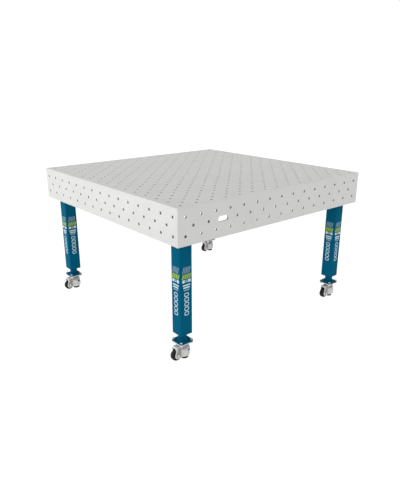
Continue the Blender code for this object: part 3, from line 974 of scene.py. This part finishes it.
def mark_shapes():
    """The marks of one face of a leg from the top down, as (film, shape)."""
    shapes = []
    for x in grid(5, 0.0105):
        shapes.append(("film_grey", film_shape(slanted(0.005, 0.034, (x, MARK_TOP - 0.024)))))
    for x in grid(4, 0.015):
        shapes.append(("film_green", film_shape(slanted(0.0115, 0.026, (x, MARK_TOP - 0.059)))))
    for x, film in zip(grid(3, 0.0195), ("film_white", "film_grey", "film_white")):
        block = rounded_rectangle(0.0165, 0.017, MARK_CORNER, 4, center=(x, MARK_TOP - 0.085))
        shapes.append((film, film_shape(block)))
    bars = ((0.05, "film_white"), (0.044, "film_white"), (0.038, "film_grey"))
    for row, (width, film) in enumerate(bars):
        center = (0, MARK_TOP - 0.108 - row * 0.0135)
        shapes.append((film, film_shape(rounded_rectangle(width, 0.008, MARK_CORNER, 4, center))))
    for row in range(5):
        center = (0, MARK_TOP - 0.162 - row * 0.027)
        outer = rounded_rectangle(0.03, 0.023, 0.0085, 6, center)
        inner = rounded_rectangle(0.0212, 0.0142, 0.005, 6, center)
        shapes.append(("film_white", film_shape(outer, [inner])))
    return shapes


def marks_mesh():
    """The marks on all four faces of a leg, in one mesh of three films."""
    films = ["film_white", "film_grey", "film_green"]
    one_face = mark_shapes()
    shapes, film_of_face = [], []
    for quarters in range(4):
        place = turn(quarters * QUARTER, "Z") @ at(0, -TUBE_SIDE / 2 - FILM / 2, 0)
        for film, shape in one_face:
            shapes.append(moved(shape, place))
            film_of_face += [films.index(film)] * len(shape[1])
    mesh = mesh_of("leg_marks", shapes)
    for film in films:
        mesh.materials.append(MATERIALS[film])
    mesh.polygons.foreach_set("material_index", film_of_face)
    return mesh


# Levelling castors


CASTER_AT = upright_axis("caster_race_front_left").translation


def local_box(kind):
    """A castor piece's box, measured from its swivel axis."""
    low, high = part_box(f"{kind}_front_left")
    return low - CASTER_AT, high - CASTER_AT


WHEEL_LOW, WHEEL_HIGH = local_box("caster_wheel")
SCREW_LOW, SCREW_HIGH = local_box("foot_screw")
AXLE_AT = (-TRAIL, middle(WHEEL_LOW.z, WHEEL_HIGH.z))  # in X and Z
FOOT_AT = middle(SCREW_LOW.x, SCREW_HIGH.x)


def caster_plate_mesh():
    top = local_box("caster_plate")[1].z
    return foot_plate("castor_plate", "caster_plate_front_left", top - CASTER_PLATE_THICK, top)


def race_mesh():
    """Two pressed raceways with the balls between them."""
    low, high = local_box("caster_race")
    radius = high.x
    waist = middle(low.z, high.z)
    upper = softened([
        (RACE_BORE, waist + 0.0016), (radius - 0.0055, waist + 0.0016, 0.001),
        (radius - 0.002, waist + 0.0004, 0.001), (radius, waist + 0.0004, 0.0006),
        (radius, high.z, 0.0012), (RACE_BORE, high.z),
    ], 4)
    lower = softened([
        (RACE_BORE, low.z), (radius - 0.0005, low.z, 0.0008), (radius - 0.0005, waist - 0.0004, 0.0006),
        (radius - 0.003, waist - 0.0004, 0.001), (radius - 0.006, waist - 0.0016, 0.001),
        (RACE_BORE, waist - 0.0016),
    ], 4)
    shapes = [turned_tube(upper, 64), turned_tube(lower, 64)]
    ball = turned(arc((0, 0), BALL_RADIUS, -80, 80, 8), 12)
    for x, y in ring((0, 0), radius - 0.0045, BALLS):
        shapes.append(shifted(ball, x, y, waist))
    return mesh_of("castor_race", shapes)


def caster_bolts_mesh():
    base_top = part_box("leg_base_front_left")[0].z + BASE_THICK
    plate_under = local_box("caster_plate")[1].z - CASTER_PLATE_THICK
    return mesh_of("castor_bolts", bolt_square(M8, FOOT_PLATE_BOLTS, base_top, plate_under, 1))


def cheek_side(low, top):
    """Side view of the hood over the wheel and of the cheeks, down to the round ends at the axle."""
    bottom = CHEEK_END_AT[1] - CHEEK_END_RADIUS
    round_end = arc(CHEEK_END_AT, CHEEK_END_RADIUS, 165, 270, 18)
    hood = softened([
        (BODY_AT, top), (-0.05, top, 0.006), (-0.0575, 0.079, 0.006), (-0.0602, 0.0735, 0.005),
        (-0.059, 0.068, 0.008), (-0.0567, 0.062, 0.01), (-0.0567, 0.055, 0.02), round_end[0],
    ])
    front_edge = softened([
        (-0.024, bottom), (-0.016, bottom + 0.001, 0.006),
        (-0.008, low + 0.003), (BODY_AT, low + 0.003),
    ])
    return hood[:-1] + round_end + front_edge


def cheek_panel():
    """Side view of the shallow recess in the face of a cheek, inside its raised rear edge."""
    end = arc(CHEEK_END_AT, CHEEK_END_RADIUS - PANEL_MARGIN, 168, 262, 14)
    top = softened([
        (-0.02, 0.078), (-0.044, 0.078, 0.004),
        (-0.049, 0.072, 0.004), (-0.0478, 0.06, 0.02), end[0],
    ])
    return top[:-1] + end + [(-0.02, CHEEK_END_AT[1] - CHEEK_END_RADIUS + PANEL_MARGIN)]


def wheel_arch():
    """Side view of the opening behind the wheel, whose top rises to the rear."""
    level = AXLE_AT[1]
    return softened([
        (-0.1, level), (-0.1, 0.0755), (-0.058, 0.0755, 0.005), (-0.038, 0.0665), (-0.038, level),
    ])


def rounded_slab(outline, half, edge):
    """An outline in the XZ plane as a solid about Y = 0, with its edges rounded."""
    curve = outline_curve("slab", outline, (), half - edge, edge)
    curve.bevel_resolution = 3
    mesh = evaluated_mesh(new_object("slab", curve))
    mesh.transform(turn(QUARTER, "X"))
    points = [tuple(vertex.co) for vertex in mesh.vertices]
    return points, [tuple(face.vertices) for face in mesh.polygons]


def boolean_mesh(name, base, steps):
    """Joins shapes to a base mesh, or cuts them from it, in turn. A step is (operation, mesh)."""
    shape = new_object(name, base)
    tools = []
    for number, (operation, mesh) in enumerate(steps):
        tool = new_object(f"{name}_{number}", mesh)
        modifier = shape.modifiers.new(f"{operation}_{number}", "BOOLEAN")
        modifier.operation = operation
        modifier.object = tool
        tools.append(tool)
    mesh = evaluated_mesh(shape)
    for tool in tools:
        bpy.data.objects.remove(tool, do_unlink=True)
    return mesh


def cast_skin(name, mesh):
    """Turns a crisp solid into a casting: its edges and inner corners get a small radius."""
    shape = new_object(name, mesh)
    remesh = shape.modifiers.new("remesh", "REMESH")
    remesh.mode = "VOXEL"
    remesh.voxel_size = CAST_VOXEL
    soften = shape.modifiers.new("soften", "SMOOTH")
    soften.factor = 0.5
    soften.iterations = CAST_SMOOTHING
    lighten = shape.modifiers.new("lighten", "DECIMATE")
    lighten.ratio = CAST_KEEP
    result = evaluated_mesh(shape)
    result.shade_smooth()
    return result


def cutters():
    """What is cut from the housing, in turn."""
    thumb_low, thumb_high = local_box("thumbwheel")
    slot_low, slot_high = thumb_low.z - THUMB_PLAY, thumb_high.z + THUMB_PLAY
    slot_radius = (thumb_high.x - thumb_low.x) / 2 + THUMB_RIM_PLAY
    screw_radius = (SCREW_HIGH.y - SCREW_LOW.y) / 2 + SCREW_PLAY
    pin_radius, pin_bottom = PIN_HOLE
    return {
        "pocket": slab(ring(AXLE_AT, POCKET_RADIUS, 96), -CHEEK_INSIDE, CHEEK_INSIDE),
        "arch": slab(wheel_arch(), -CHEEK_INSIDE, CHEEK_INSIDE),
        "slot": rod(slot_radius, slot_low, slot_high, 72, FOOT_AT),
        "mouth": bar_shape((FOOT_AT, -BEYOND, slot_low), (0.06, BEYOND, slot_high)),
        "bore": rod(screw_radius, -0.01, SCREW_HIGH.z + SCREW_END_PLAY, 40, FOOT_AT),
        "pin": rod(pin_radius, pin_bottom, 0.1, 40),
        "axle_hole": slab(ring(AXLE_AT, AXLE_RADIUS + AXLE_PLAY, 32), -BEYOND, BEYOND),
    }


def housing_mesh():
    """The die-cast housing: a round body with a mouth in front, and a hood with two cheeks behind."""
    top = local_box("caster_housing")[1].z
    thumb_top = local_box("thumbwheel")[1].z
    profile = softened([
        (0.001, BODY_BOTTOM), (BODY_NOSE_RADIUS, BODY_BOTTOM, 0.003),
        (BODY_RADIUS, BODY_BOTTOM + 0.0095, 0.008), (BODY_RADIUS, thumb_top + 0.001, 0.0015),
        (BODY_TOP_RADIUS, thumb_top + 0.005, 0.002), (BODY_TOP_RADIUS, top, 0.002), (0.001, top),
    ], 6)
    body = turned(profile, 96, (BODY_AT, 0))
    cheeks = rounded_slab(cheek_side(BODY_BOTTOM, top), CHEEK_OUTSIDE, CHEEK_ROUND)
    panel_floor, outside = CHEEK_OUTSIDE - PANEL_DEPTH, CHEEK_OUTSIDE + 0.01
    panels = [slab(cheek_panel(), *ends) for ends in ((-outside, -panel_floor), (panel_floor, outside))]
    steps = [("DIFFERENCE", mesh_of("panels", panels)), ("UNION", mesh_of("body", [body]))]
    steps += [("DIFFERENCE", mesh_of(name, [shape])) for name, shape in cutters().items()]
    solid = boolean_mesh("castor_housing", mesh_of("cheeks", [cheeks]), steps)
    mesh = cast_skin("castor_housing", solid)
    finish_housing(mesh, panel_floor, thumb_top + 0.0045)
    return mesh


def finish_housing(mesh, panel_floor, neck_low):
    """The recess in either cheek gets a darker cast colour as painted shade, and the neck under the race a
    dark one as the painted shadow of the plate.
    """
    for material in ("die_cast", "cheek_recess_painted_shade", "neck_painted_shadow"):
        mesh.materials.append(MATERIALS[material])
    for face in mesh.polygons:
        x, y, z = face.center
        off_axis = math.hypot(x - BODY_AT, y)
        # recess faces of the cheeks: painted shade
        if abs(abs(y) - panel_floor) < 0.0004 and abs(face.normal.y) > 0.8 and x < -0.012:
            face.material_index = 1
        # neck under the race: painted shadow of the plate
        elif z > neck_low and off_axis < BODY_TOP_RADIUS + 0.0004:
            face.material_index = 2


def wheel_mesh():
    """A moulded wheel about the Y axis, with a crowned tread and six ribs in the recess of either side."""
    radius = AXLE_AT[1]
    half = WHEEL_HIGH.y
    bore, hub, recess, rim = 0.0046, 0.0105, 0.003, radius - 0.0065
    side = softened([
        (bore, half), (hub, half, 0.0008), (hub + 0.001, half - recess, 0.0006),
        (rim - 0.001, half - recess, 0.0006), (rim, half - 0.0006, 0.0006),
        (radius - 0.0022, half - 0.0006, 0.0022), (radius, half - 0.005, 0.008), (radius, 0.0),
    ], 4)
    profile = side + [(r, -y) for r, y in side[-2::-1]]

    def point(r, y, angle):
        in_recess = hub + 0.0008 < r < rim - 0.0004
        rib = in_recess and abs((WHEEL_RIBS * angle / math.tau + 0.5) % 1 - 0.5) < 0.06
        depth = math.copysign(half - 0.0009, y) if rib else y
        return r * math.cos(angle), depth, r * math.sin(angle)

    return mesh_of("castor_wheel", [skin(shaped_rings(profile, 120, point), joined=True)], 40)


def axle_shapes():
    """An axle bolt along Z: a domed head with a hexagon socket, and a nut with the bolt's end in it."""
    reach = local_box("caster_axle")[1].y
    cheek = CHEEK_OUTSIDE + 0.0003
    shoulder = -cheek - (reach - cheek) * 0.45
    head = softened([
        (AXLE_HEAD_RADIUS, -cheek), (AXLE_HEAD_RADIUS, shoulder, 0.0004),
        (0.0052, -reach, 0.0012), (0.0026, -reach),
    ], 5)
    rings = [circle_at(radius, z, HEXAGON_SIDES) for radius, z in head]
    rings.append(hexagon_ring(0.0048, -reach))
    rings.append(hexagon_ring(0.0046, -reach + 0.0024))
    nut_low = cheek + 0.0009
    return [
        skin(rings),
        rod(AXLE_RADIUS - 0.0001, -cheek, reach, 32),
        washer_shape(AXLE_HEAD_RADIUS, AXLE_RADIUS, cheek, nut_low),
        hexagon_block(0.012, nut_low, nut_low + (reach - nut_low) * 0.82),
    ]


def screw_mesh():
    """A screw with a cut thread, about Z at the foot's own axis."""
    low, high = SCREW_LOW.z, SCREW_HIGH.z
    radius = (SCREW_HIGH.y - SCREW_LOW.y) / 2
    count = round((high - low) / THREAD_PITCH * 6)
    profile = [(radius, low + (high - low) * i / count) for i in range(count + 1)]

    def point(r, z, angle):
        groove = abs(2 * ((z / THREAD_PITCH - angle / math.tau) % 1.0) - 1) ** 1.2
        taper = min(1.0, (high - z) / THREAD_PITCH + 0.3, (z - low) / THREAD_PITCH + 0.6)
        r = (r - THREAD_DEPTH * (1 - groove)) * (0.93 + 0.07 * taper)
        return r * math.cos(angle), r * math.sin(angle), z

    return mesh_of("levelling_screw", [skin(shaped_rings(profile, 32, point))], 50)


def pad_mesh():
    """A rubber pad with a rounded rim and two flat rings moulded under it."""
    low, high = local_box("foot_pad")
    radius = (high.x - low.x) / 2
    profile = softened([
        (0.0005, low.z + 0.001), (0.006, low.z + 0.001, 0.0004), (0.0068, low.z, 0.0004),
        (0.011, low.z, 0.0004), (0.0118, low.z + 0.001, 0.0004), (0.014, low.z + 0.001, 0.0004),
        (0.0148, low.z, 0.0004), (radius - 0.0008, low.z, 0.001), (radius, low.z + 0.004, 0.0015),
        (radius - 0.001, high.z - 0.001, 0.0012), (radius - 0.005, high.z, 0.001), (0.0005, high.z),
    ], 4)
    return mesh_of("levelling_pad", [turned(profile, 64)])


def thumb_mesh():
    """The knurled ring on the screw."""
    low, high = local_box("thumbwheel")
    radius = (high.x - low.x) / 2
    bore, edge, sunk = 0.0087, 0.0009, 0.001
    profile = softened([
        (bore, low.z + sunk), (0.0125, low.z + sunk, 0.0004), (0.0135, low.z, 0.0004),
        (radius - edge, low.z, edge / 2), (radius, low.z + edge, edge / 2),
        (radius, high.z - edge, edge / 2), (radius - edge, high.z, edge / 2),
        (0.0135, high.z, 0.0004), (0.0125, high.z - sunk, 0.0004), (bore, high.z - sunk),
    ], 3)

    def point(r, z, angle):
        cut = THUMB_CUT if r > radius - 1.5 * edge else 0.0
        reach = r - cut * max(0.0, math.cos(THUMB_FLUTES * angle)) ** 0.7
        return reach * math.cos(angle), reach * math.sin(angle), z

    rings = shaped_rings(profile, 6 * THUMB_FLUTES, point)
    return mesh_of("levelling_ring", [skin(rings, joined=True)], 30)


def caster_meshes():
    return {
        "castor_plate": caster_plate_mesh(),
        "castor_race": race_mesh(),
        "castor_bolts": caster_bolts_mesh(),
        "castor_housing": housing_mesh(),
        "castor_axle": mesh_of("castor_axle", axle_shapes()),
        "castor_wheel": wheel_mesh(),
        "levelling_screw": screw_mesh(),
        "levelling_pad": pad_mesh(),
        "levelling_ring": thumb_mesh(),
    }


def build_caster(corner, meshes):
    swivel = upright_axis(f"caster_race_{corner}")
    foot = swivel @ at(FOOT_AT, 0, 0)
    axle = swivel @ at(AXLE_AT[0], 0, AXLE_AT[1])
    axle_bolt = axle @ turn(QUARTER, "X")
    parts = (
        ("castor_plate", "zinc", "zinc", "root", swivel, ["caster_plate"]),
        # the race's dark colour paints the shadow under the castor plate
        ("castor_race", "race_painted_shadow", "zinc", "root", swivel, ["caster_race"]),
        ("castor_bolts", "zinc", "zinc", "root", swivel, []),
        ("castor_housing", "die_cast", "cast_housing", f"swivel_{corner}", swivel, ["caster_housing"]),
        ("castor_axle", "zinc", "zinc", f"swivel_{corner}", axle_bolt, ["caster_axle"]),
        ("castor_wheel", "black_nylon", "black_nylon", f"wheel_{corner}", axle, ["caster_wheel"]),
        ("levelling_screw", "zinc", "zinc", f"foot_{corner}", foot, ["foot_screw"]),
        ("levelling_pad", "black_rubber", "black_rubber", f"foot_{corner}", foot, ["foot_pad"]),
        ("levelling_ring", "dark_plastic", "dark_plastic", f"thumb_{corner}", foot, ["thumbwheel"]),
    )
    for kind, material, slot, body, place, nodes in parts:
        stands_for = [f"{node}_{corner}" for node in nodes]
        add_piece(f"{kind}_{corner}", meshes[kind], material, slot, body, place, stands_for)


def build_table():
    build_top()
    build_sides()
    build_seams()
    build_box_welds()
    for rib in ("rib_front", "rib_back", "rib_left", "rib_right"):
        finish_node(rib, "rolled_skin_and_shade")
    legs = leg_meshes()
    marks = marks_mesh()
    casters = caster_meshes()
    for corner in CORNERS:
        build_leg_mount(corner)
        build_leg(corner, legs)
        place = upright_axis(f"leg_tube_{corner}")
        add_piece(f"leg_marks_{corner}", marks, "film_white", "teal_paint", place=place)
        build_caster(corner, casters)


# Floor, light and camera


def build_floor():
    corners = [(x, y, FLOOR_AT) for x, y in rectangle(2 * FLOOR_REACH, 2 * FLOOR_REACH)]
    floor = new_object("floor", mesh_of("floor", [(corners, [(0, 1, 2, 3)])]))
    paper = Recipe("floor_paper", Roughness=0.9, Emission_Strength=0.98, Emission_Color=(1, 1, 1, 1))
    tone = paper.noise(0.6, detail=2.0)
    color = paper.mix(paper.specks(tone, 0.3, 0.7, 1.0), (0.08,) * 3, (0.09,) * 3)
    floor.data.materials.append(paper.done(color))


def build_world():
    """A bright horizon under a dimmer zenith, as in a studio with white walls."""
    world = bpy.data.worlds.new("studio")
    bpy.context.scene.world = world
    world.use_nodes = True
    nodes, links = world.node_tree.nodes, world.node_tree.links
    background = nodes["Background"]
    point = nodes.new("ShaderNodeTexCoord")
    split = nodes.new("ShaderNodeSeparateXYZ")
    ramp = nodes.new("ShaderNodeValToRGB")
    links.new(point.outputs["Generated"], split.inputs[0])
    links.new(split.outputs["Z"], ramp.inputs[0])
    links.new(ramp.outputs["Color"], background.inputs["Color"])
    stops = ((0.0, 1.04), (0.16, 1.02), (0.45, 0.94), (1.0, 0.85))
    ramp.color_ramp.elements.remove(ramp.color_ramp.elements[1])
    for i, (rise, level) in enumerate(stops):
        stop = ramp.color_ramp.elements[0] if i == 0 else ramp.color_ramp.elements.new(rise)
        stop.position = rise
        stop.color = (level, level, level, 1.0)


def build_lamp():
    """A softbox that lights the left side of the table."""
    light = bpy.data.lights.new("key_left", "AREA")
    light.shape = "RECTANGLE"
    light.size, light.size_y = LAMP_SIZE
    light.energy = LAMP_POWER
    lamp = new_object("key_left", light)
    lamp.location = LAMP_AT
    lamp.rotation_euler = (Vector(LAMP_TOWARDS) - Vector(LAMP_AT)).to_track_quat("-Z", "Y").to_euler()


def build_camera():
    camera = new_object("camera", bpy.data.cameras.new("camera"))
    camera.data.lens = LENS
    camera.data.sensor_width = SENSOR
    camera.location = CAMERA_AT
    camera.rotation_euler = Vector(CAMERA_TOWARDS).to_track_quat("-Z", "Y").to_euler()
    bpy.context.scene.camera = camera


bpy.context.scene.view_settings.view_transform = "Standard"
build_table()
build_floor()
build_world()
build_lamp()
build_camera()
